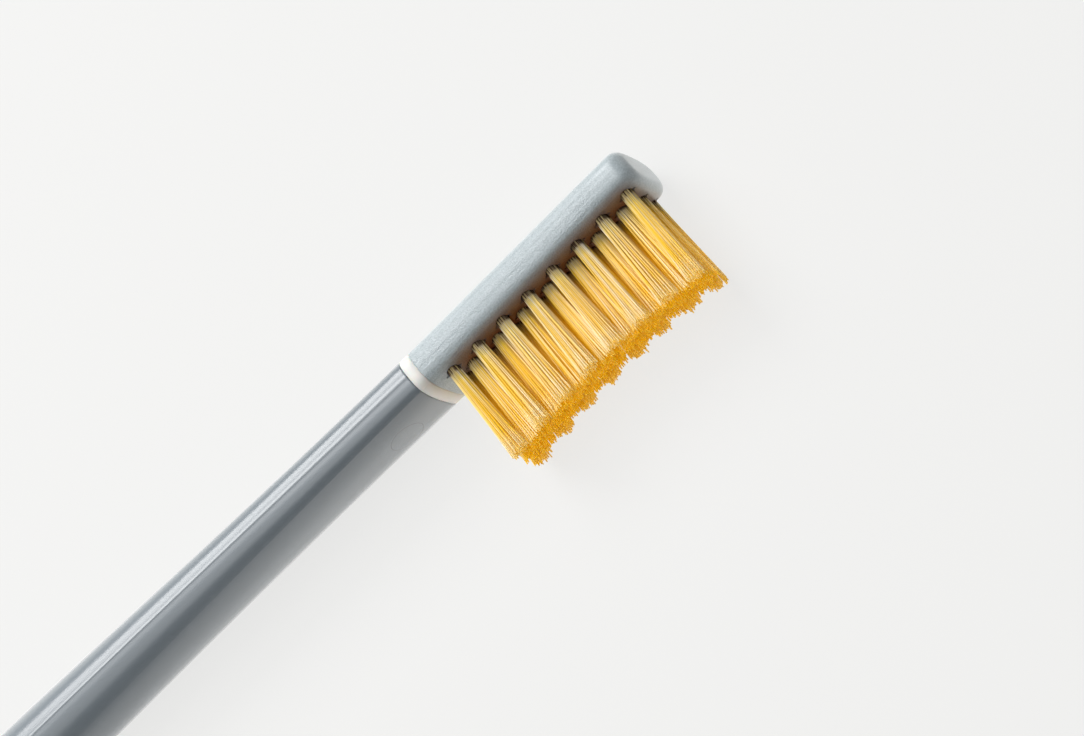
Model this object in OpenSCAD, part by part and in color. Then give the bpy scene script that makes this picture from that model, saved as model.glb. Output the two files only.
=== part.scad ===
// Manual toothbrush with a stapled head: a round moulded handle whose neck
// flattens towards the head, a thin collar ring, and a squared head drilled
// for staggered rows of tufts. It lies on its side, with +X towards the tip,
// the bristles towards -Y and +Z up, standing on z = 0.

/* [Head] */
// Length of the head from the collar ring to the tip
head_l = 29.8; // [28.5:0.1:36]
// Width of the head across the bristle face
head_w = 9.5; // [9:0.1:12]
// Thickness of the head at the collar ring
head_t = 5.25; // [4.8:0.05:7]
// How much thinner the head is at its tip
tip_thin = 0.4; // [0:0.05:0.8]
// Squareness of the head's section: 2 is an ellipse, larger is squarer
squareness = 3.04; // [2.4:0.02:4]
// Corner radius of the squared tip, seen from the face
tip_corner_r = 1.6; // [1:0.1:2.6]
// Edge radius round the end face
tip_edge_r = 1.1; // [0.3:0.05:1.6]

/* [Stem and collar ring] */
// Thickness of the collar ring along the brush
ring_l = 1.35; // [0.8:0.05:3]
// Diameter of the stem that carries ring and head
stem_d = 3.4; // [2.4:0.1:3.8]
// Length of the stem inside the handle
stem_l = 9; // [5:0.5:16]
// Depth of the stem's axis below the bristle face
stem_drop = 2.6; // [2.5:0.05:3]
// Radial clearance of the stem in the ring and the handle
stem_gap = 0.04; // [0.02:0.01:0.1]

/* [Handle] */
// Length of the handle from the collar ring to the tail
handle_l = 152.85; // [140:0.5:170]
// How far each side of the neck draws in between ring and grip
neck_in = 0.15; // [0:0.05:0.4]
// How far the front of the neck lies below the bristle face
neck_drop = 0.3; // [0:0.05:0.5]
// How far the widest line of the neck lies behind its middle
neck_back = 0.25; // [0:0.05:0.4]
// How soon the neck grows thicker behind the ring: 0 starts level with it
neck_growth = 0.5; // [0:0.05:1]
// Distance behind the ring where the straight grip starts
grip_x = 92; // [75:1:110]
// Diameter of the straight grip
grip_d = 9.5; // [9.5:0.1:13]
// Edge radius of the tail
tail_r = 3.4; // [1:0.1:4.4]

/* [Tufts] */
// Number of tufts in a long row
long_row = 8; // [4:1:8]
// Number of rows across the face
row_count = 5; // [1:2:5]
// Distance between tufts along a row
pitch = 3.6; // [3.3:0.05:3.65]
// Distance between rows
row_gap = 1.42; // [1.35:0.01:1.6]
// Distance from the ring to the first tuft of a long row
first_x = 2.3; // [1.8:0.1:2.8]
// Diameter of a tuft hole
hole_d = 1.6; // [1.3:0.05:1.65]
// Depth of a tuft hole below the top of the face
hole_depth = 3.2; // [2.6:0.1:3.6]
// Radial clearance of a tuft in its hole
tuft_gap = 0.03; // [0.02:0.01:0.08]
// Free length of the shortest bristles
bristle_l = 10.2; // [7:0.1:14]
// Radius of the hollow trim along the brush
trim_r = 84; // [50:1:400]
// Distance from the ring to the lowest point of the trim
trim_x = 14.2; // [10:0.1:20]
// Diameter of a flared tuft at its tip
tip_d = 2.1; // [1.6:0.05:2.15]
// Depth of the flutes that the filament bundles leave round a tuft
flute = 0.05; // [0:0.01:0.08]

/* [Anchors] */
// Width of an anchor plate along the brush
anchor_w = 2.15; // [2:0.05:2.3]
// Height of an anchor plate
anchor_h = 1.3; // [0.8:0.1:1.6]
// Thickness of an anchor plate
anchor_t = 0.24; // [0.16:0.02:0.3]
// Thickness of the bristle fold under the plate
fold_t = 0.5; // [0.3:0.05:0.8]
// Clearance of the plate in its slit and in the fold, on each side
anchor_gap = 0.02; // [0.01:0.01:0.05]

/* [Hidden] */
$fn = 32;
head_half = head_w / 2;
hole_r = hole_d / 2;
row_mid = (row_count - 1) / 2;
// Corners round a tuft, and the shares of its free length that have a ring of them
tuft_sides = 14;
tuft_levels = [0, 0.3, 0.65, 1];
tuft_r = hole_r - tuft_gap;
// Most that a tuft's end leans to either side
loose = 0.05;
// How far a cut runs past a surface, or one solid into the next
over = 1;
// How far the neck's end lies inside the round grip
seam = 0.02;
// Points round a section, and sections along the neck
section_points = 40;
neck_steps = 14;

// Signed power, for the two halves of a squared ellipse
function spow(v, e) = sign(v) * abs(v) ^ e;

// Closed section at x: a squared ellipse of half width a and half thickness c whose
// front lies at the height low, drawn in by drop from the face and from the back,
// and widest at the distance back behind its middle
function section(x, a, c, e, low = 0, drop = 0, back = 0) =
    [for (k = [0:section_points - 1])
        let (
            t = 360 * k / section_points,
            u = spow(cos(t), 2 / e)
        )
        [x, low + c - (c - drop) * u + back * (1 - u ^ 2), a * spow(sin(t), 2 / e)]];

// Head section at x: the corner and edge radii draw it in towards the tip
function head_section(x) =
    let (
        into_corner = max(0, x - head_l + tip_corner_r),
        into_edge = max(0, x - head_l + tip_edge_r),
        a = head_half - tip_corner_r + sqrt(max(0, tip_corner_r ^ 2 - into_corner ^ 2)),
        drop = tip_edge_r - sqrt(max(0, tip_edge_r ^ 2 - into_edge ^ 2))
    )
    section(x, a, (head_t - tip_thin * x / head_l) / 2, squareness, 0, drop);

// Handle section at a distance behind the ring: squared at first, round at the grip
function handle_section(d) =
    let (
        f = min(1, d / grip_x),
        bow = sin(180 * f),
        growth = f ^ 2 * (3 - 2 * f) + neck_growth * f * (1 - f) ^ 2,
        grip_r = grip_d / 2 - seam,
        a = head_half + (grip_r - head_half) * f - neck_in * bow,
        c = head_t / 2 + (grip_r - head_t / 2) * growth,
        e = 2 + (squareness - 2) * (1 - f) ^ 3
    )
    section(-ring_l - d, a, c, e, neck_drop * bow ^ 0.6 + seam * f, 0, neck_back * bow);

// Height of the trimmed bristle ends above the face, at x
function trim(x) = bristle_l + trim_r - sqrt(trim_r ^ 2 - (x - trim_x) ^ 2);

// A row's distance from the middle plane, its number of tufts and their places
function row_z(row) = (row - row_mid) * row_gap;
function tufts_in(row) = long_row - row % 2;
function tuft_x(row, col) = first_x + (col + (row % 2) / 2) * pitch;

// One ring of points round a tuft, at the share f of its free length
function tuft_ring(row, col, f) =
    let (
        lean = rands(-1, 1, 2, 100 * row + col),
        x0 = tuft_x(row, col) + loose * lean[0] * f,
        z0 = row_z(row) + loose * lean[1] * f,
        r = tuft_r + (tip_d / 2 - tuft_r) * f
    )
    [for (k = [0:tuft_sides - 1])
        let (
            a = 360 * k / tuft_sides,
            rk = r * (1 - f * (k % 2) * flute),
            x = x0 + rk * cos(a)
        )
        [x, -trim(x) * f, z0 + rk * sin(a)]];

// Shift that puts the middle of the whole brush over the origin
tip_y = min([for (row = [0:row_count - 1], col = [0:tufts_in(row) - 1], p = tuft_ring(row, col, 1))
    p[1]]);
place = [(handle_l + ring_l - head_l) / 2, -(grip_d + tip_y) / 2, grip_d / 2];

row_names = ["a", "b", "c", "d", "e"];
function tuft_name(row, col) = str("tuft_", row_names[row], col + 1);

// Solid through a list of sections with equal numbers of points
module loft(sections) {
    n = len(sections[0]);
    m = len(sections);
    polyhedron(
        [for (s = sections, p = s) p],
        concat(
            [[for (k = [n - 1:-1:0]) k]],
            [for (j = [0:m - 2], k = [0:n - 1])
                let (a = j * n + k, b = j * n + (k + 1) % n)
                [a, b, a + n]],
            [for (j = [0:m - 2], k = [0:n - 1])
                let (a = j * n + k, b = j * n + (k + 1) % n)
                [b, b + n, a + n]],
            [[for (k = [0:n - 1]) (m - 1) * n + k]]
        )
    );
}

// Round bar along the brush at the stem's depth
module stem_bar(from, to, r) {
    translate([from, stem_drop, 0]) rotate([0, 90, 0]) cylinder(r = r, h = to - from);
}

module each_tuft() {
    for (row = [0:row_count - 1], col = [0:tufts_in(row) - 1])
        translate([tuft_x(row, col), 0, row_z(row)]) children();
}

// Anchor plate below the face, thicker and taller by gap, and reaching up by rise
module anchor_plate(w, gap, rise) {
    translate([-w / 2, hole_depth - fold_t - anchor_h - rise, -anchor_t / 2 - gap])
        cube([w, anchor_h + rise, anchor_t + 2 * gap]);
}

module handle() {
    straight_l = handle_l - grip_x - tail_r;
    flat_r = grip_d / 2 - tail_r;
    color("#9ca6ac") difference() {
        union() {
            loft([for (d = concat(
                    [grip_x + over],
                    [for (k = [neck_steps:-1:0]) grip_x * (k / neck_steps) ^ 1.5]))
                handle_section(d)]);
            translate([-ring_l - grip_x, grip_d / 2, 0]) rotate([0, -90, 0])
                rotate_extrude($fn = 64) intersection() {
                    square([grip_d / 2, straight_l + tail_r]);
                    union() {
                        square([grip_d / 2, straight_l]);
                        square([flat_r, straight_l + tail_r]);
                        translate([flat_r, straight_l]) circle(tail_r);
                    }
                }
        }
        stem_bar(-ring_l - stem_l - stem_gap, -ring_l + over, stem_d / 2 + stem_gap);
    }
}

module collar_ring() {
    color("white") difference() {
        loft([for (x = [-ring_l, 0]) section(x, head_half, head_t / 2, squareness)]);
        stem_bar(-ring_l - over, over, stem_d / 2 + stem_gap);
    }
}

module head() {
    corner_steps = 8;
    color("#a0aaaf") difference() {
        union() {
            loft([for (x = concat(
                    [0, (head_l - tip_corner_r) / 2],
                    [for (k = [0:corner_steps])
                        head_l - tip_corner_r * (1 - sin(90 * k / corner_steps))]))
                head_section(x)]);
            stem_bar(-ring_l - stem_l, over, stem_d / 2);
        }
        each_tuft() {
            translate([0, hole_depth, 0]) rotate([90, 0, 0]) cylinder(r = hole_r, h = hole_depth + over);
            anchor_plate(anchor_w, anchor_gap, hole_depth);
        }
    }
}

module tuft_anchors() {
    color("#b08d57") each_tuft() anchor_plate(anchor_w, 0, 0);
}

// A folded bundle of filaments: straight in its hole, flared above the face
module tuft(row, col) {
    n = tuft_sides;
    levels = len(tuft_levels);
    foot = [for (p = tuft_ring(row, col, 0)) [p[0], hole_depth, p[2]]];
    rings = [for (f = tuft_levels, p = tuft_ring(row, col, f)) p];
    top = levels * n;
    tip = [tuft_x(row, col), -trim(tuft_x(row, col)), row_z(row)];
    color("#d9a441") difference() {
        polyhedron(
            concat(foot, rings, [tip]),
            concat(
                [[for (k = [0:n - 1]) k]],
                [for (j = [0:levels - 1], k = [0:n - 1])
                    [j * n + k, (j + 1) * n + k, j * n + (k + 1) % n]],
                [for (j = [0:levels - 1], k = [0:n - 1])
                    [j * n + (k + 1) % n, (j + 1) * n + k, (j + 1) * n + (k + 1) % n]],
                [for (k = [0:n - 1]) [top + k, top + n, top + (k + 1) % n]]
            )
        );
        translate([tuft_x(row, col), -anchor_gap, row_z(row)])
            anchor_plate(hole_d, anchor_gap, 2 * anchor_gap);
    }
}

translate(place) {
    handle();
    collar_ring();
    head();
    tuft_anchors();
    for (row = [0:row_count - 1], col = [0:tufts_in(row) - 1])
        tuft(row, col);
}
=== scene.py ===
import math
import random

import bpy
from mathutils import Matrix, Vector


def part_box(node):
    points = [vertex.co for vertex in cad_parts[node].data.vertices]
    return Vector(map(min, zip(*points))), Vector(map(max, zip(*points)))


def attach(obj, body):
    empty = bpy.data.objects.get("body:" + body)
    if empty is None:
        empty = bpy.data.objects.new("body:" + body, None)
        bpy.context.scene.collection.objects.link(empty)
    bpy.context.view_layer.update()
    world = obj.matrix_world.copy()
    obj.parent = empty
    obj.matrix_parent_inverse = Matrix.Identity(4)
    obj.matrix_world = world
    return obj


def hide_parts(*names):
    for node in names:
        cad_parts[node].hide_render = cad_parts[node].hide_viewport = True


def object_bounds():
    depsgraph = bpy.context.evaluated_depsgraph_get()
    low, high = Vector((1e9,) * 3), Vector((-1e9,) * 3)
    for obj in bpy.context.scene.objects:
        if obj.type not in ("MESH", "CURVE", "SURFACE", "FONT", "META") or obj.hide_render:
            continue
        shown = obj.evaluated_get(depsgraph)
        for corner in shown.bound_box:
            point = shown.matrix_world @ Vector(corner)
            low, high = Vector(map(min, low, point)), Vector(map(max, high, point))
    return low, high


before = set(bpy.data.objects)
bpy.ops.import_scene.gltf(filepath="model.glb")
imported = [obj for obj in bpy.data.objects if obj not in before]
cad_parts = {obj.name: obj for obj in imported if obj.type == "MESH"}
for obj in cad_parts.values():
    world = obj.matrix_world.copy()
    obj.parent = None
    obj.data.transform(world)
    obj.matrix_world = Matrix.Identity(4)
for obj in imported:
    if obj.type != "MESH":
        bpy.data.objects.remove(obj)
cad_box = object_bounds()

# Camera
# The photograph looks down on the lying brush from the bristle side, with a long lens, and
# shows the head and the front of the handle running from the lower left to the upper right.
mm = 0.001
ring_low, ring_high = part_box("collar_ring")
face_y = ring_low.y
middle_z = (ring_low.z + ring_high.z) / 2
ring_front = ring_high.x
ring_back = ring_low.x
camera_turn = math.radians(13.65)
camera_lean = math.radians(23.55)
camera_roll = math.radians(45.31)
camera_distance = 400 * mm
view_width = 108.7 * mm
aim_ahead = 8.78 * mm
aim_above = 5.17 * mm
aim = Vector((ring_front + aim_ahead, face_y - aim_above, middle_z))
towards_camera = Vector((
    math.sin(camera_turn) * math.cos(camera_lean),
    -math.sin(camera_lean),
    math.cos(camera_turn) * math.cos(camera_lean),
))
along = Vector((1, 0, 0))
along -= towards_camera * along.dot(towards_camera)
along.normalize()
across = along.cross(towards_camera)
right = along * math.cos(camera_roll) + across * math.sin(camera_roll)
up = along * math.sin(camera_roll) - across * math.cos(camera_roll)
lens = bpy.data.cameras.new("camera")
lens.sensor_width = 36
lens.lens = lens.sensor_width * camera_distance / view_width
lens.clip_start = 10 * mm
camera = bpy.data.objects.new("camera", lens)
axes = Matrix((right, up, towards_camera)).transposed()
camera.matrix_world = Matrix.Translation(aim + towards_camera * camera_distance) @ axes.to_4x4()
bpy.context.scene.collection.objects.link(camera)
bpy.context.scene.camera = camera
bpy.context.scene.view_settings.view_transform = "Standard"


# Floor and surroundings
# The brush lies on a plain pale sheet that takes its soft shadow, lower by the room that its
# flash line needs. All materials are written as sums and products of wires, a wire being one
# value that changes over a surface.
class Wire:
    """One value inside a material: arithmetic on it adds the Math nodes."""

    def __init__(self, finish, socket):
        self.finish = finish
        self.socket = socket

    def math(self, operation, *values, clamp=False):
        settings = {"operation": operation, "use_clamp": clamp}
        return self.finish.add("ShaderNodeMath", settings, dict(enumerate(values)))

    def __add__(self, other):
        return self.math("ADD", self, other)

    def __radd__(self, other):
        return self.math("ADD", other, self)

    def __sub__(self, other):
        return self.math("SUBTRACT", self, other)

    def __rsub__(self, other):
        return self.math("SUBTRACT", other, self)

    def __mul__(self, other):
        return self.math("MULTIPLY", self, other)

    def __rmul__(self, other):
        return self.math("MULTIPLY", other, self)

    def __truediv__(self, other):
        return self.math("DIVIDE", self, other)

    def __pow__(self, other):
        return self.math("POWER", self, other)

    def __abs__(self):
        return self.math("ABSOLUTE", self)

    def rise(self, low, high):
        """0 below low and 1 above high, with a straight rise between them."""
        return self.math("MULTIPLY", self - low, 1 / (high - low), clamp=True)


class Finish:
    """The nodes of one material, or of the surroundings."""

    def __init__(self, tree):
        self.tree = tree
        tree.nodes.clear()

    def add(self, kind, settings=None, sockets=None, out=0):
        node = self.tree.nodes.new(kind)
        for name, value in (settings or {}).items():
            setattr(node, name, value)
        for name, value in (sockets or {}).items():
            if isinstance(value, Wire):
                self.tree.links.new(value.socket, node.inputs[name])
            else:
                node.inputs[name].default_value = value
        return Wire(self, node.outputs[out]) if node.outputs else None

    def place(self):
        """A point's place in metres, in the brush's own frame."""
        return self.add("ShaderNodeTexCoord", out="Object")

    def split(self, point):
        """The three coordinates of a point."""
        return [self.add("ShaderNodeSeparateXYZ", {}, {0: point}, out=k) for k in range(3)]

    def grain(self, point, scale, detail=3, stretch=(1, 1, 1)):
        """Noise from 0 to 1, stretched along the axes where stretch is small."""
        point = self.add("ShaderNodeVectorMath", {"operation": "MULTIPLY"}, {0: point, 1: stretch})
        return self.add("ShaderNodeTexNoise", {}, {"Vector": point, "Scale": scale, "Detail": detail})

    def mix(self, share, first, second):
        """A colour that goes from first to second as share goes from 0 to 1."""
        sockets = {0: share, 6: first, 7: second}
        return self.add("ShaderNodeMix", {"data_type": "RGBA"}, sockets, out=2)


def new_material(name):
    material = bpy.data.materials.new(name)
    material.use_nodes = True
    return material, Finish(material.node_tree)


def surface(finish, sockets):
    """Ends a material in one principled surface."""
    shader = finish.add("ShaderNodeBsdfPrincipled", {}, sockets)
    finish.add("ShaderNodeOutputMaterial", {}, {"Surface": shader})


pale = (0.87, 0.87, 0.86, 1)
floor_size = 6.0
paper, finish = new_material("pale_paper")
shade = finish.add("ShaderNodeBsdfDiffuse", {}, {"Color": pale})
glow = finish.add("ShaderNodeEmission", {}, {"Color": pale, "Strength": 1.0})
seen = finish.add("ShaderNodeLightPath", out="Is Camera Ray")
mirrored = finish.add("ShaderNodeLightPath", out="Is Glossy Ray")
shadow_share = 0.12
plain = (seen + mirrored) * (1 - shadow_share)
paper_look = finish.add("ShaderNodeMixShader", {}, {0: plain, 1: shade, 2: glow})
finish.add("ShaderNodeOutputMaterial", {}, {"Surface": paper_look})
half = floor_size / 2
corners = [(-half, -half, 0), (half, -half, 0), (half, half, 0), (-half, half, 0)]
sheet = bpy.data.meshes.new("floor")
sheet.from_pydata(corners, [], [(0, 1, 2, 3)])
sheet.materials.append(paper)
floor = bpy.data.objects.new("floor", sheet)
flash_room = 0.1 * mm
floor.location.z = cad_box[0].z - flash_room
bpy.context.scene.collection.objects.link(floor)

world = bpy.data.worlds.new("surroundings")
world.use_nodes = True
bpy.context.scene.world = world
finish = Finish(world.node_tree)
seen = finish.add("ShaderNodeLightPath", out="Is Camera Ray")
mirrored = finish.add("ShaderNodeLightPath", out="Is Glossy Ray")
direction = finish.add("ShaderNodeTexCoord", out="Generated")
height = finish.add("ShaderNodeSeparateXYZ", {}, {0: direction}, out=2)
fade_low = 0.15
fade_high = 0.4
backdrop = 1 - height.rise(fade_low, fade_high)
room_light = (0.055, 0.054, 0.053, 1)
room = finish.mix(seen + mirrored * backdrop, room_light, pale)
air = finish.add("ShaderNodeBackground", {}, {"Color": room, "Strength": 1.0})
finish.add("ShaderNodeOutputWorld", {}, {"Surface": air})


# Lamps
# Three soft boxes stand in an arc over the back of the brush, the lowest the brightest, and a
# dim warm one lies flat on the sheet and shines up. Nothing stands near the camera, so the
# gloss turns dark where a surface faces it.
def soft_box(name, centre, tilt, size, glow, colour):
    """A flat lamp at centre, standing over the X axis and tilted by turning round it."""
    lamp = bpy.data.lights.new(name, "AREA")
    lamp.shape = "RECTANGLE"
    lamp.size, lamp.size_y = size
    lamp.energy = math.pi * size[0] * size[1] * glow
    lamp.color = colour
    box = bpy.data.objects.new(name, lamp)
    box.location = centre
    box.rotation_euler = (math.radians(tilt), 0, 0)
    box.visible_camera = False
    bpy.context.scene.collection.objects.link(box)


lamp_reach = 0.5
lamp_x = -0.04
white_light = (1, 1, 1)
lamp_arc = (
    ("key_box", 42, (0.34, 0.25), 9.6),
    ("side_box", 70, (0.36, 0.2), 4.4),
    ("top_box", 100, (0.4, 0.34), 1.8),
)
for name, height, size, glow in lamp_arc:
    turn = math.radians(height)
    centre = (lamp_x, lamp_reach * math.cos(turn), lamp_reach * math.sin(turn))
    soft_box(name, centre, height - 90, size, glow, white_light)
table_centre = (-0.08, 0, cad_box[0].z + 0.2 * mm)
warm_light = (1, 0.97, 0.93)
facing_up = 180
soft_box("table_box", table_centre, facing_up, (0.36, 0.5), 0.65, warm_light)


# Handle
# One glossy moulding of light blue-grey plastic. A fine flash line runs along each side where
# the mould closes, a soft crease borders the front, and an ejector pin left a round mark.
handle_low, handle_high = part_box("handle")
head_half = (ring_high.z - ring_low.z) / 2
head_thick = (ring_high.y - ring_low.y) / 2
squareness = 3.04
neck_in = 0.15 * mm
neck_drop = 0.3 * mm
neck_back = 0.25 * mm
neck_growth = 0.5
grip_back = 92 * mm
grip_radius = (handle_high.z - handle_low.z) / 2
tail_edge = 3.4 * mm
crease_at_ring = 50.6
crease_turn = 15.4
crease_height = 0.07 * mm
front_reach = 0.6 * mm
side_reach = 3 * mm
flash_height = 0.06 * mm
flash_reach = 0.1 * mm
seam_round = 0.05 * mm
front_points = 14
shoulder_points = 16
back_points = 20
crowding = 1.7
ease = 0.85
low_power = 0.6
rounding_power = 3
crease_fade = 1.5
flash_fade = 0.5


def spaced(count, ends):
    """Values from 0 to 1 that crowd towards the start, the end or both."""
    steps = [k / count for k in range(count)]
    if ends == "end":
        return [1 - (1 - f) ** crowding for f in steps]
    if ends == "start":
        return [f ** crowding for f in steps]
    return [f - math.sin(2 * math.pi * f) / (2 * math.pi) * ease for f in steps]


def outline_angles(crease):
    """Angles from the front to the back, close together at the crease and the flash line."""
    side = math.pi / 2
    return ([crease * f for f in spaced(front_points, "end")]
            + [crease + (side - crease) * f for f in spaced(shoulder_points, "both")]
            + [side + side * f for f in spaced(back_points, "start")]
            + [math.pi])


def signed_power(value, power):
    return math.copysign(abs(value) ** power, value)


def section(a, c, e, low=0.0, drop=0.0, back=0.0, inset=0.0, crease=crease_at_ring,
            crease_share=1.0, flash_share=1.0):
    """The brush's closed outline across its length, as (y, z): a squared ellipse.

    a is its half width, c its half thickness and e its squareness. low moves it behind the
    head's face, drop thins its front and back, back moves its sides towards the back, and
    inset takes the same off all round.
    """
    crease = math.radians(crease)
    half = []
    for t in outline_angles(crease):
        depth, width = signed_power(math.cos(t), 2 / e), signed_power(math.sin(t), 2 / e)
        normal = Vector((signed_power(depth, e - 1) / c, signed_power(width, e - 1) / a))
        normal.normalize()
        crease_reach = front_reach if t < crease else side_reach
        near_crease = math.exp(-abs(t - crease) * a / crease_reach)
        near_flash = math.exp(-(abs(t - math.pi / 2) * a / flash_reach) ** 2)
        crease_ridge = crease_share * crease_height * near_crease
        flash_ridge = flash_share * flash_height * near_flash
        out = crease_ridge + flash_ridge - inset
        y = (c - drop) * depth - back * (1 - depth ** 2) + out * normal[0]
        half.append((y, a * width + out * normal[1]))
    whole = half + [(y, -z) for y, z in half[-2:0:-1]]
    return [(face_y + low + c - y, middle_z + z) for y, z in whole]


def loft(name, stations, cap_steps=4):
    """A closed smooth skin through (x, section) stations, with rings inside its flat ends."""
    count = len(stations[0][1])
    rings = [[Vector((x, y, z)) for y, z in outline] for x, outline in stations]
    for at_start in (True, False):
        ring = rings[0] if at_start else rings[-1]
        middle = sum(ring, Vector()) / count
        for k in range(1, cap_steps):
            inner = [middle.lerp(p, 1 - k / cap_steps) for p in ring]
            rings.insert(0 if at_start else len(rings), inner)
    points = [p for ring in rings for p in ring]
    faces = []
    for j in range(len(rings) - 1):
        for k in range(count):
            a, b = j * count + k, j * count + (k + 1) % count
            faces.append((a, a + count, b + count, b))
    last = (len(rings) - 1) * count
    faces.append(tuple(range(count)))
    faces.append(tuple(range(last + count - 1, last - 1, -1)))
    mesh = bpy.data.meshes.new(name)
    mesh.from_pydata(points, [], faces)
    mesh.shade_smooth()
    return mesh


def show(name, mesh, material, slot, *nodes):
    """Puts a finished piece in the scene in the place of its plain solids."""
    mesh.materials.append(material)
    piece = bpy.data.objects.new(name, mesh)
    bpy.context.scene.collection.objects.link(piece)
    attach(piece, "root")
    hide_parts(*nodes)


def handle_section(behind, inset=0.0):
    """The handle's outline at a distance behind the ring: squared at first, round at the grip."""
    f = min(1.0, behind / grip_back)
    bow = abs(math.sin(math.pi * f))
    growth = f ** 2 * (3 - 2 * f) + neck_growth * f * (1 - f) ** 2
    a = head_half + (grip_radius - head_half) * f - neck_in * bow
    c = head_thick + (grip_radius - head_thick) * growth
    e = 2 + (squareness - 2) * (1 - f) ** rounding_power
    return section(a, c, e, neck_drop * bow ** low_power, 0, neck_back * bow, inset,
                   crease_at_ring - crease_turn * f, (1 - f) ** crease_fade, 1 - flash_fade * f)


handle_length = ring_back - handle_low.x
straight_end = handle_length - tail_edge
tail_steps = 12
grip_steps = 6
neck_steps = 70
neck_crowding = 1.4
stations = []
for k in range(tail_steps + 1):
    turn = math.pi / 2 * (1 - k / tail_steps)
    behind = straight_end + tail_edge * math.sin(turn)
    stations.append((ring_back - behind, handle_section(behind, tail_edge * (1 - math.cos(turn)))))
for k in range(1, grip_steps + 1):
    behind = straight_end + (grip_back - straight_end) * k / grip_steps
    stations.append((ring_back - behind, handle_section(behind)))
for k in range(1, neck_steps + 1):
    behind = seam_round + (grip_back - seam_round) * (1 - k / neck_steps) ** neck_crowding
    stations.append((ring_back - behind, handle_section(behind)))
stations.append((ring_back, handle_section(0, seam_round)))

gloss, finish = new_material("blue_grey_gloss")
point = finish.place()
x, y, z = finish.split(point)
pin_radius = 2.0 * mm
pin_back = 5.3 * mm
pin_line = 0.11 * mm
front_end = 1.5 * mm
side_start = 2 * mm
reach = ((x - (ring_back - pin_back)) ** 2 + (z - middle_z) ** 2) ** 0.5
on_front = 1 - y.rise(face_y + front_end, face_y + side_start)
pin_mark = (1 - abs(reach - pin_radius).rise(0, pin_line)) * on_front
cloud = finish.grain(point, 60, 2)
tint = finish.mix(cloud, (0.152, 0.178, 0.198, 1), (0.166, 0.192, 0.212, 1))
tint = finish.mix(pin_mark * 0.6, tint, (0.08, 0.09, 0.1, 1))
relief = finish.add("ShaderNodeBump", {}, {"Strength": 0.15, "Distance": 0.05 * mm,
                                         "Height": 1 - pin_mark})
surface(finish, {"Base Color": tint, "Roughness": 0.25 + cloud * 0.03, "IOR": 1.62,
                 "Normal": relief})
show("handle_moulding", loft("handle_moulding", stations), gloss, "handle", "handle")


# Collar ring
# A thin band of white plastic. The head's stem passes through it into the handle, and the two
# clamp it between them, flush with both.
ring_width = ring_front - ring_back
stations = [
    (ring_back + at, section(head_half, head_thick, squareness, inset=inset, flash_share=0.0))
    for at, inset in ((0, seam_round), (seam_round, 0),
                      (ring_width - seam_round, 0), (ring_width, seam_round))
]
white, finish = new_material("white_gloss")
point = finish.place()
cloud = finish.grain(point, 300, 2)
tint = finish.mix(cloud, (0.67, 0.665, 0.635, 1), (0.71, 0.705, 0.675, 1))
surface(finish, {"Base Color": tint, "Roughness": 0.45 + cloud * 0.06, "IOR": 1.45,
                 "Subsurface Weight": 0.2, "Subsurface Scale": 0.5 * mm})
show("ring_band", loft("ring_band", stations), white, "ring", "collar_ring")


# Head
# A satin block of the same grey, with a squared tip. Each tuft hole is drilled into the
# bristle face, and the anchor plates cut a slit into the wall on both sides of it. The face
# between the tufts is painted dark golden brown: painted shade and painted tuft light.
head_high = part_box("head")[1]
head_length = head_high.x - ring_front
tip_thin = 0.4 * mm
tip_corner = 1.6 * mm
tip_edge = 1.1 * mm
hole_radius = 0.8 * mm
hole_depth = 3.2 * mm
anchor_width = 2.15 * mm
slit_width = 0.28 * mm
slit_depth = 2.7 * mm
drill_sides = 40
cutter_proud = 1 * mm
head_flash = 0.35
body_steps = 59
tip_steps = 18
sharp_edge = math.radians(32)


def head_section(forward, inset=0.0):
    """The head's outline at a distance in front of the ring."""
    corner = min(tip_corner, max(0, forward - head_length + tip_corner))
    edge = min(tip_edge, max(0, forward - head_length + tip_edge))
    a = head_half - tip_corner + math.sqrt(tip_corner ** 2 - corner ** 2)
    drop = tip_edge - math.sqrt(tip_edge ** 2 - edge ** 2)
    c = head_thick - tip_thin / 2 * forward / head_length
    return section(a, c, squareness, drop=drop, inset=inset,
                   crease_share=0.0, flash_share=head_flash * (a - drop) / head_half)


stations = [
    (ring_front, head_section(0, seam_round)),
    (ring_front + seam_round, head_section(seam_round)),
]
for k in range(1, body_steps + 1):
    forward = seam_round + (head_length - tip_corner - seam_round) * k / body_steps
    stations.append((ring_front + forward, head_section(forward)))
for k in range(1, tip_steps + 1):
    forward = head_length - tip_corner * (1 - math.sin(math.pi / 2 * k / tip_steps))
    stations.append((ring_front + forward, head_section(forward)))


def middle_at(y, points):
    """The middle of the points' extent along the head and across it, at depth y."""
    along, over = [p.x for p in points], [p.z for p in points]
    return Vector(((min(along) + max(along)) / 2, y, (min(over) + max(over)) / 2))


flat_foot = 0.01 * mm
sloped_top = 1.5 * mm
tufts = {}
for name in sorted(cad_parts):
    if not name.startswith("tuft_") or name == "tuft_anchors":
        continue
    corners = [v.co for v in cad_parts[name].data.vertices]
    deepest = max(p.y for p in corners)
    highest = min(p.y for p in corners)
    foot = middle_at(deepest, [p for p in corners if p.y > deepest - flat_foot])
    top = middle_at(highest, [p for p in corners if p.y < highest + sloped_top])
    tufts[name] = (foot, top)


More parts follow.
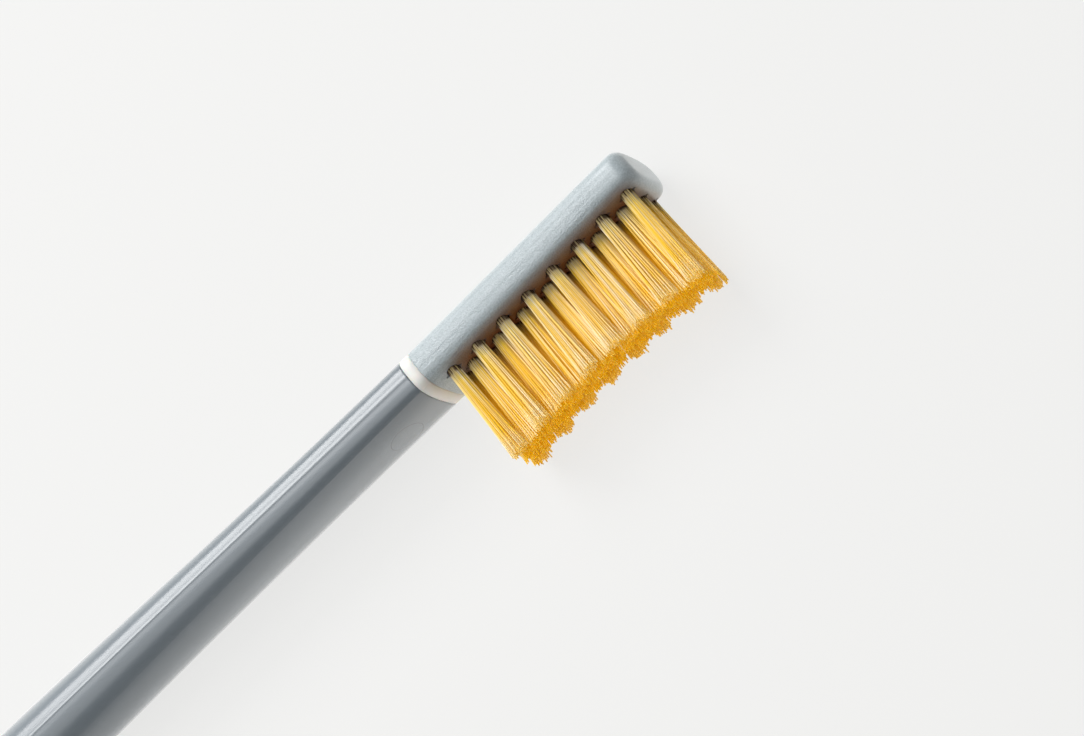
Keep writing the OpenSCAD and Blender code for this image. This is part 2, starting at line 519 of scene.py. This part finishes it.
def cutters(name, outline, depth):
    """One mesh of all the drills, or of all the slits, that open the bristle face."""
    points, faces = [], []
    for foot, top in tufts.values():
        first, n = len(points), len(outline)
        for level in (face_y + depth, face_y - cutter_proud):
            points += [(foot.x + dx, level, foot.z + dz) for dx, dz in outline]
        faces.append(tuple(first + k for k in range(n - 1, -1, -1)))
        faces.append(tuple(first + n + k for k in range(n)))
        for k in range(n):
            a, b = first + k, first + (k + 1) % n
            faces.append((a, b, b + n, a + n))
    mesh = bpy.data.meshes.new(name)
    mesh.from_pydata(points, [], faces)
    return bpy.data.objects.new(name, mesh)


def cut(mesh, tool):
    """The mesh less the tool's solids."""
    block = bpy.data.objects.new("block", mesh)
    for item in (block, tool):
        bpy.context.scene.collection.objects.link(item)
    step = block.modifiers.new("cut", "BOOLEAN")
    step.object = tool
    step.operation = "DIFFERENCE"
    step.solver = "EXACT"
    scene_now = bpy.context.evaluated_depsgraph_get()
    result = bpy.data.meshes.new_from_object(block.evaluated_get(scene_now))
    for item in (block, tool):
        bpy.data.objects.remove(item)
    return result


turns = [2 * math.pi * k / drill_sides for k in range(drill_sides)]
circle = [(hole_radius * math.cos(turn), hole_radius * math.sin(turn)) for turn in turns]
w, h = anchor_width / 2, slit_width / 2
slot = [(w, h), (-w, h), (-w, -h), (w, -h)]
block = cut(loft("head_block", stations), cutters("drill", circle, hole_depth))
block = cut(block, cutters("slit", slot, slit_depth))
block.name = "head_block"
block.shade_smooth()
block.set_sharp_from_angle(angle=sharp_edge)

satin, finish = new_material("blue_grey_satin")
point = finish.place()
x, y = finish.split(point)[:2]
cloud = finish.grain(point, 120, 3)
scratch = finish.grain(point, 3200, 2, (0.03, 1, 1)).rise(0.35, 0.65)
speck = finish.grain(point, 6500, 1).rise(0.35, 0.65)
tint = finish.mix(scratch * 0.35 + speck * 0.65, (0.3, 0.35, 0.37, 1), (0.42, 0.47, 0.49, 1))
# The bristle face between the tufts is painted dark golden brown: painted shade under the tufts, with
# painted golden light thrown on it by them.
on_face = 1 - y.rise(face_y + 0.1 * mm, face_y + 1.1 * mm)
past_first = x.rise(ring_front + 1 * mm, ring_front + 4 * mm)
before_tip = 1 - x.rise(head_high.x - 2.5 * mm, head_high.x - 0.5 * mm)
painted_face_shade_and_glow = on_face * past_first * before_tip
tint = finish.mix(painted_face_shade_and_glow * 0.95, tint, (0.2, 0.065, 0.01, 1))
rubbed = 1 - x.rise(head_high.x - 5 * mm, head_high.x - 2 * mm)
relief = finish.add("ShaderNodeBump", {}, {"Strength": 0.9, "Distance": 0.025 * mm,
                                         "Height": (scratch * 0.7 + speck) * rubbed})
surface(finish, {"Base Color": tint, "Roughness": 0.33 + cloud * 0.08, "IOR": 1.55,
                 "Normal": relief})
show("head_block", block, satin, "head", "head")


# Anchors
# Flat pieces of metal wire. Each is driven into its hole over the fold of the tuft, and its
# two ends bite into the slits in the wall.
metal, finish = new_material("anchor_metal")
dull = finish.grain(finish.place(), 2500, 3)
tint = finish.mix(dull, (0.42, 0.36, 0.26, 1), (0.6, 0.52, 0.38, 1))
surface(finish, {"Base Color": tint, "Metallic": 1.0, "Roughness": 0.3 + dull * 0.25})
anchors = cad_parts["tuft_anchors"]
anchors.data.materials.clear()
anchors.data.materials.append(metal)


# Tufts
# Each tuft is a bundle of fine golden nylon filaments, folded in its hole. They fill the hole
# tightly, spread towards their ends and are trimmed together to a long hollow curve. Light
# runs along inside the clear nylon, which a faint painted glow of the outer part stands for.
# Their colours are painted paler where light falls and deeper where they lie in shade.
filament_radius = 0.07 * mm
filament_sides = 6
end_length = 0.5
end_width = 0.55
packing = 0.158 * mm
bundle_radius = 0.69 * mm
tip_spread = 1.52
bristle_length = 10.2 * mm
ragged = 0.14 * mm
trim_radius = 84 * mm
trim_lowest = ring_front + 14.2 * mm
levels = (-0.16, -0.02, 0.12, 0.3, 0.5, 0.7, 0.86, 1.0)
flare_power = 1.25
tuft_scatter = 0.06
lock_count = 9
lock_reach = 0.45
lock_scatter = 0.09
lock_ragged = 0.05 * mm
own_scatter = 0.05
bow_scatter = 0.035
stray_share = 0.03
stray_lean = 3.0


def trimmed_length(x):
    """Length of the bristles above the face where the trimming blade passed."""
    return bristle_length + trim_radius - math.sqrt(trim_radius ** 2 - (x - trim_lowest) ** 2)


def bundle(chance):
    """Places of the filaments in the hole: packed in a triangle pattern, slightly shifted."""
    shift = chance.uniform(0, packing), chance.uniform(0, packing)
    turn = chance.uniform(0, math.pi / 3)
    places = []
    rows = math.ceil(2 * bundle_radius / packing)
    for row in range(-rows, rows + 1):
        for column in range(-rows, rows + 1):
            u = (column + row / 2) * packing + shift[0]
            v = row * packing * math.sqrt(3) / 2 + shift[1]
            if math.hypot(u, v) < bundle_radius:
                places.append((u * math.cos(turn) - v * math.sin(turn),
                               u * math.sin(turn) + v * math.cos(turn)))
    return places


def filament(points, faces, centres):
    """Adds one tube along its centres, with a rounded end."""
    first, sides = len(points), filament_sides
    rings = [(p, filament_radius) for p in centres]
    end = centres[-1] + (centres[-1] - centres[-2]).normalized() * filament_radius * end_length
    rings.append((end, filament_radius * end_width))
    for middle, radius in rings:
        for k in range(sides):
            angle = 2 * math.pi * k / sides
            points.append(middle + Vector((math.cos(angle), 0, math.sin(angle))) * radius)
    for j in range(len(rings) - 1):
        for k in range(sides):
            a, b = first + j * sides + k, first + j * sides + (k + 1) % sides
            faces.append((a, a + sides, b + sides, b))
    last = first + (len(rings) - 1) * sides
    faces.append(tuple(last + k for k in range(sides - 1, -1, -1)))
    faces.append(tuple(first + k for k in range(sides)))


def sideways(chance, amount):
    """A chance step across the bristles, of about so many millimetres."""
    return Vector((chance.gauss(0, amount), 0, chance.gauss(0, amount))) * mm


def tuft(name, foot, top):
    """A bundle of filaments that hang together in a few locks, each with its own lean."""
    chance = random.Random(name)
    points, faces = [], []
    lean = Vector((top.x - foot.x, 0, top.z - foot.z)) + sideways(chance, tuft_scatter)
    locks = [(sideways(chance, lock_reach), sideways(chance, lock_scatter),
              chance.gauss(0, lock_ragged)) for k in range(lock_count)]
    for u, v in bundle(chance):
        place = Vector((u, 0, v))
        middle, lock_lean, lock_trim = min(locks, key=lambda lock: (lock[0] - place).length)
        stray = stray_lean if chance.random() < stray_share else 1.0
        loose = sideways(chance, own_scatter) * stray
        bow = sideways(chance, bow_scatter)
        start = Vector((foot.x, face_y, foot.z)) + place
        spread = place * (tip_spread - 1) + lean + lock_lean + loose
        length = trimmed_length(start.x + spread.x) + lock_trim + chance.gauss(0, ragged)
        centres = []
        for f in levels:
            g = max(0, f)
            side = spread * g ** flare_power + bow * math.sin(math.pi * g)
            centres.append(start + side + Vector((0, -f * length, 0)))
        filament(points, faces, centres)
    mesh = bpy.data.meshes.new(name)
    mesh.from_pydata(points, [], faces)
    mesh.shade_smooth()
    return mesh


amber = (0.93, 0.66, 0.0, 1)
cream = (0.93, 0.90, 0.74, 1)
ivory = (0.98, 0.92, 0.70, 1)
honey = (0.95, 0.64, 0.0, 1)
buff = (0.86, 0.72, 0.48, 1)
umber = (0.52, 0.40, 0.27, 1)
hole_shade = (0.09, 0.05, 0.025, 1)
cut_dark = (0.3, 0.11, 0.01, 1)
cut_bright = (0.95, 0.7, 0.1, 1)
no_glow = (0, 0, 0, 1)
deep_glow = (0.60, 0.36, 0.0, 1)
end_glow = (1.0, 0.75, 0.3, 1)
rim_glow = (1.0, 0.58, 0.0, 1)
golden, finish = new_material("golden_filament")
point = finish.place()
x, y, z = finish.split(point)
own_tone = finish.add("ShaderNodeNewGeometry", out="Random Per Island")
trimmed = bristle_length + (x - trim_lowest) ** 2 * (0.5 / trim_radius)
outward = (face_y - y) / trimmed
streak = finish.grain(point, 1700, 2, (1, 0.03, 1))
front_row = max(foot.z for foot, top in tufts.values())
back_row = min(foot.z for foot, top in tufts.values())
last_column = max(foot.x for foot, top in tufts.values())
front = z.rise(front_row - 1.4 * mm, front_row - 0.2 * mm)
behind = 1 - z.rise(back_row + 0.2 * mm, back_row + 1.4 * mm)
at_end = x.rise(last_column + 0.3 * mm, last_column + 1.2 * mm)
# Each filament's random tone runs from amber to cream, and the front row is painted paler still:
# painted light where the lamps fall on it, with the rows behind in painted shade.
tone = (own_tone * 0.55 + streak.rise(0.3, 0.7) * 0.45) ** 1.6 * (0.7 + front * 0.6)
tint = finish.mix(tone.rise(0, 1), amber, cream)
# The tips of the front row are painted ivory: a painted highlight.
pale_end = outward.rise(0.78, 0.92) * (0.35 + own_tone * 0.65)
tint = finish.mix(pale_end * front, tint, ivory)
# The ends of the rows behind the front are painted deep honey, a painted shade, and the back row's
# ends are painted lighter buff, a painted light.
tint = finish.mix(outward.rise(0.95, 1.0) * (1 - front) * 0.7, tint, honey)
tint = finish.mix(pale_end * behind * 0.7, tint, buff)
# Towards the roots the filaments are painted umber, and in the hole most of them dark brown: painted
# shade where the head and the hole shut out the light.
tint = finish.mix((1 - outward.rise(0.0, 0.12)) * 0.7, tint, umber)
at_hole = 1 - outward.rise(0.004, 0.032)
tint = finish.mix(at_hole * own_tone.rise(0.15, 0.55), tint, hole_shade)
# The cut ends are painted bright golden, a painted light for the light that runs out of them, and
# some dark brown at random, a painted shade between them.
facing = finish.add("ShaderNodeTexCoord", out="Normal")
cut_off = finish.add("ShaderNodeSeparateXYZ", {}, {0: facing}, out=1) * -1
painted_cut_end_light = finish.mix(own_tone.rise(0.2, 0.4), cut_dark, cut_bright)
tint = finish.mix(cut_off.rise(0.5, 0.9), tint, painted_cut_end_light)
# The filaments glow more towards their ends, and most in the tufts by the tip: a painted glow for the
# light that runs inside the nylon, not a lamp.
painted_glow = finish.mix(outward.rise(0.02, 0.45), no_glow, deep_glow)
painted_glow = finish.mix(at_end * outward.rise(0.1, 0.5), painted_glow, end_glow)
painted_glow = finish.mix(outward.rise(0.93, 1.0), painted_glow, rim_glow)
outside = finish.add("ShaderNodeBsdfPrincipled", {}, {
    "Base Color": tint, "Roughness": 0.3, "IOR": 1.42, "Specular IOR Level": 0.3,
    "Emission Color": painted_glow, "Emission Strength": 0.18,
})
# Inside the hole and just above it, the light through the filaments is painted dark brown: painted
# shade.
in_hole = finish.add("ShaderNodeBsdfTranslucent", {}, {"Color": (0.14, 0.05, 0.02, 1)})
in_free = finish.add("ShaderNodeBsdfTranslucent", {}, {"Color": (1.0, 0.82, 0.0, 1)})
freed = outward.rise(0.02, 0.14)
inside = finish.add("ShaderNodeMixShader", {}, {0: freed, 1: in_hole, 2: in_free})
clear_share = 0.3
both = finish.add("ShaderNodeMixShader", {}, {0: clear_share, 1: outside, 2: inside})
finish.add("ShaderNodeOutputMaterial", {}, {"Surface": both})
for name, (foot, top) in tufts.items():
    show(name + "_filaments", tuft(name + "_filaments", foot, top), golden, "bristle", name)
